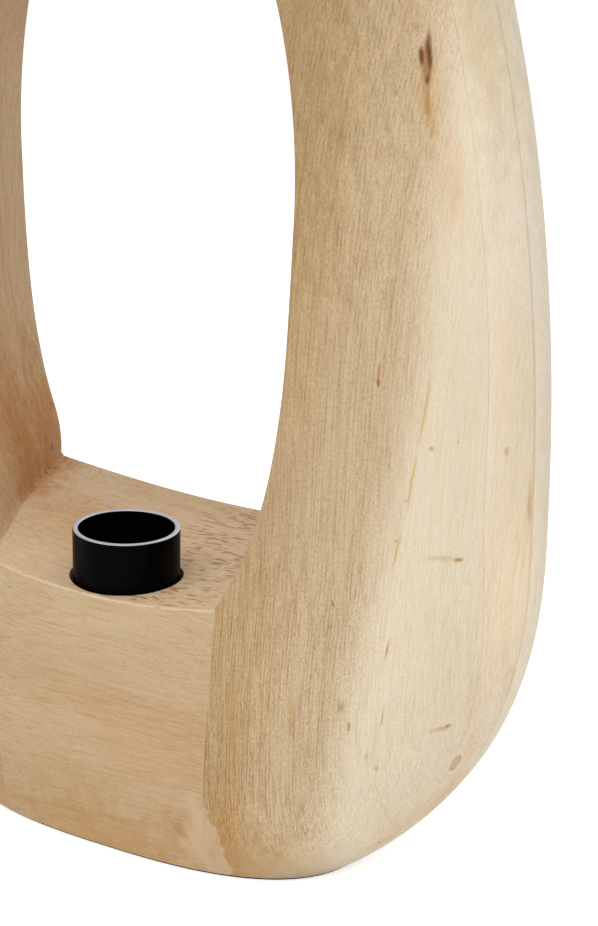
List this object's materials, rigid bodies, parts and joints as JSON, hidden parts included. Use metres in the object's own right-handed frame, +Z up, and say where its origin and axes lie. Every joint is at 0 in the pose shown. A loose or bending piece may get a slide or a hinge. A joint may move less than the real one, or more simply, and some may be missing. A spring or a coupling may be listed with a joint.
{
  "type": "table lamp",
  "caption": "Table lamp: an upright egg-shaped ring of laminated pale wood with a black open lampholder cup let into the bar at its foot, for a screw-cap bulb.",
  "frame": {"origin": "middle of the foot, on the surface that the lamp stands on", "axes": "+Z up, -Y towards the front with the lampholder, X across the ring"},
  "size_m": [0.3018, 0.114, 0.4735],
  "materials": {
    "rail_wood": "sanded, unvarnished, grain lying flat",
    "upright_wood": "sanded, unvarnished, grain standing up",
    "dowel_wood": "plain turned beech",
    "felt": "dark pressed felt",
    "fibreboard": "brown hardboard",
    "black_steel": "satin black paint",
    "black_plastic": "moulded, satin",
    "white_carrier": "glazed white",
    "brass": "plain pressed brass",
    "steel": "zinc plated",
    "live_insulation": "brown insulation",
    "neutral_insulation": "blue insulation",
    "pale_plastic": "milky moulded plastic"
  },
  "bodies": {
    "lamp": {"base_rail_front": "rail_wood", "base_rail_middle": "rail_wood", "base_rail_rear": "rail_wood", "top_rail_front": "rail_wood", "top_rail_middle": "rail_wood", "top_rail_rear": "rail_wood", "left_upright_front": "upright_wood", "left_upright_middle": "upright_wood", "left_upright_rear": "upright_wood", "right_upright_front": "upright_wood", "right_upright_middle": "upright_wood", "right_upright_rear": "upright_wood", "base_dowel_left_1": "dowel_wood", "base_dowel_left_2": "dowel_wood", "base_dowel_right_1": "dowel_wood", "base_dowel_right_2": "dowel_wood", "top_dowel_left_1": "dowel_wood", "top_dowel_left_2": "dowel_wood", "top_dowel_right_1": "dowel_wood", "top_dowel_right_2": "dowel_wood", "foot_felt": "felt", "base_cover": "fibreboard", "cover_screw_1": "steel", "cover_screw_2": "steel", "cover_screw_3": "steel", "cover_screw_4": "steel", "holder_cup": "black_steel", "holder_cap": "black_plastic", "holder_skirt": "black_plastic", "contact_carrier": "white_carrier", "screw_shell": "brass", "contact_spring": "steel", "holder_nipple": "steel", "holder_washer": "steel", "holder_nut": "steel", "live_terminal": "brass", "live_terminal_screw": "steel", "live_lead": "live_insulation", "neutral_terminal": "brass", "neutral_terminal_screw": "steel", "neutral_lead": "neutral_insulation", "connector_block": "pale_plastic", "connector_screw": "steel", "cord_bush": "black_plastic"},
    "contact": {"centre_contact": "brass"}
  },
  "joints": [
    {"name": "contact_press", "type": "slide", "parent": "lamp", "child": "contact", "axis": [0, 0, -1], "range_m": [0, 0.0015], "stiffness_N_per_m": 2500, "springref_m": -0.0008, "deforming": ["contact_spring"]}
  ]
}
